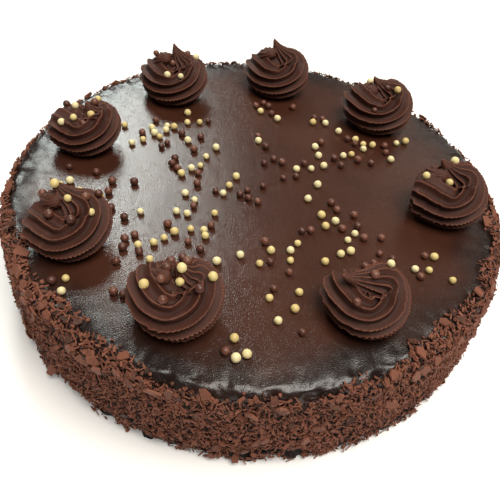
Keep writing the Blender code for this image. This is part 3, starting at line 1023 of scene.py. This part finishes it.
def pearl_finish(name, deep, middle_shade, light, roughness):
    """Coating chocolate, tumbled on in a drum: matt, a little mottled, and uneven like a peel."""
    finish, tree, place = new_finish(name)
    tint = add_node(tree, "ShaderNodeAttribute", {"attribute_name": "tint"})
    peel = add_node(tree, "ShaderNodeTexNoise", links={"Vector": place}, Scale=650, Detail=3)
    mixed = add_node(
        tree,
        "ShaderNodeMath",
        {"operation": "MULTIPLY_ADD"},
        {0: peel.outputs["Fac"], 2: tint.outputs["Fac"]},
    )
    mixed.inputs[1].default_value = 0.6
    stops = add_node(tree, "ShaderNodeValToRGB", links={"Fac": mixed.outputs[0]})
    colour = spread(stops, (0.2, deep), (0.7, middle_shade), (1.0, light))
    bump = add_node(
        tree, "ShaderNodeBump", links={"Height": peel.outputs["Fac"]}, Strength=0.25, Distance=0.2 * MM
    )
    surface = add_node(
        tree,
        "ShaderNodeBsdfPrincipled",
        links={"Base Color": colour, "Normal": bump.outputs["Normal"]},
        Roughness=roughness,
    )
    add_node(tree, "ShaderNodeOutputMaterial", links={"Surface": surface.outputs["BSDF"]})
    return finish


pale_coating = pearl_finish("pale_chocolate_coating", "#cdb271", "#dcc888", "#e8daa8", 0.5)
brown_coating = pearl_finish("brown_chocolate_coating", "#4a291f", "#5b3427", "#6d4333", 0.42)

draw = random.Random(31)
samples = bpy.data.collections.new("pearls")
for number in range(6):
    work = bmesh.new()
    bmesh.ops.create_cube(work, size=2)
    bmesh.ops.subdivide_edges(work, edges=work.edges[:], cuts=3, use_grid_fill=True)
    for vertex in work.verts:
        vertex.co.normalize()
        dents = noise.noise(vertex.co * 1.4 + Vector((number * 5.3, 0, 0)))
        vertex.co *= 1 + 0.07 * dents
    mesh = bpy.data.meshes.new(f"pearl_{number}")
    work.to_mesh(mesh)
    work.free()
    mesh.shade_smooth()
    mesh.materials.append(pale_coating)
    samples.objects.link(bpy.data.objects.new(f"pearl_{number}", mesh))

pale, brown = [], []
for spot in pearls_on_glaze():
    (pale if draw.random() < PALE_SHARE else brown).append(spot)
for number, (details, (rosette, middle)) in enumerate(zip(ROSETTES, rosettes), 1):
    kinds = details[-1]
    spots = pearls_on_cream(rosette, middle, random.Random(20 + number), len(kinds))
    for kind, spot in zip(kinds, spots):
        (pale if kind == "p" else brown).append(spot)
tree = pearl_tree()
for name, spots, coating, seed in (
    ("pale_pearls", pale, pale_coating, 41),
    ("brown_pearls", brown, brown_coating, 42),
):
    pearls = object_from(name, [place for place, _ in spots], [], coating)
    pearls.data.attributes.new("radius", "FLOAT", "POINT").data.foreach_set(
        "value", [radius for _, radius in spots]
    )
    made_by(tree, pearls, Samples=samples, Seed=seed, Finish=coating)
    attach(pearls, "root")

# The table top, the light and the camera: a plain white surface, a tall window behind the cake on
# the left with the pale wall beside it, a dimmer bright wall on the right, and soft light from above.
FLOOR_REACH = 6.0
table = object_from(
    "floor",
    [(x * FLOOR_REACH, y * FLOOR_REACH, 0) for x, y in ((-1, -1), (1, -1), (1, 1), (-1, 1))],
    [(0, 1, 2, 3)],
    None,
    False,
)
white_table, tree, place = new_finish("white_table")
surface = add_node(
    tree,
    "ShaderNodeBsdfPrincipled",
    Base_Color=linear("#f6f5f3"),
    Roughness=0.7,
    Emission_Color=linear("#ffffff"),
    Emission_Strength=0.1,
)
add_node(tree, "ShaderNodeOutputMaterial", links={"Surface": surface.outputs["BSDF"]})
table.data.materials.clear()
table.data.materials.append(white_table)
table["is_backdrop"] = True

for name, place, aim, width, height, watts, colour in (
    ("window", (-0.6, 1.5, 1.24), (-0.03, 0.0, 0.05), 0.36, 0.78, 18.5, "#f3fbf6"),
    ("side_wall", (-1.45, 1.3, 1.2), (-0.1, 0.0, 0.05), 1.3, 1.2, 1.1, "#f4f6f4"),
    ("bright_wall", (0.75, 1.5, 0.85), (0.05, 0.0, 0.05), 0.8, 0.5, 1.3, "#fff2e6"),
    ("ceiling", (0.4, -0.3, 1.7), (0.0, 0.0, 0.0), 1.3, 1.1, 41, "#fffaf2"),
):
    light = bpy.data.lights.new(name, "AREA")
    light.shape = "RECTANGLE"
    light.size = width
    light.size_y = height
    light.energy = watts
    light.color = linear(colour)[:3]
    lamp = bpy.data.objects.new(name, light)
    lamp.location = place
    lamp.rotation_euler = (Vector(aim) - Vector(place)).to_track_quat("-Z", "Y").to_euler()
    bpy.context.scene.collection.objects.link(lamp)

room = bpy.data.worlds.new("room")
room.use_nodes = True
room.node_tree.nodes["Background"].inputs["Color"].default_value = linear("#f5ece2")
room.node_tree.nodes["Background"].inputs["Strength"].default_value = 0.12
bpy.context.scene.world = room

lens = bpy.data.cameras.new("camera")
lens.lens = 39.46
lens.sensor_width = 36
lens.clip_start = 0.01
camera = bpy.data.objects.new("camera", lens)
right = Vector((0.9955, 0.068, 0.0656))
up = Vector((-0.0944, 0.7243, 0.683))
ahead = Vector((0.0011, 0.6862, -0.7274))
stand = Matrix((right, up, -ahead)).transposed().to_4x4()
stand.translation = Vector((0, -0.2341, 0.2446))
camera.matrix_world = stand
bpy.context.scene.collection.objects.link(camera)
bpy.context.scene.camera = camera
bpy.context.scene.view_settings.view_transform = "Standard"

sizes = {
    "cad": [list(corner) for corner in cad_box],
    "visual": [list(corner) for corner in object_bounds()],
}
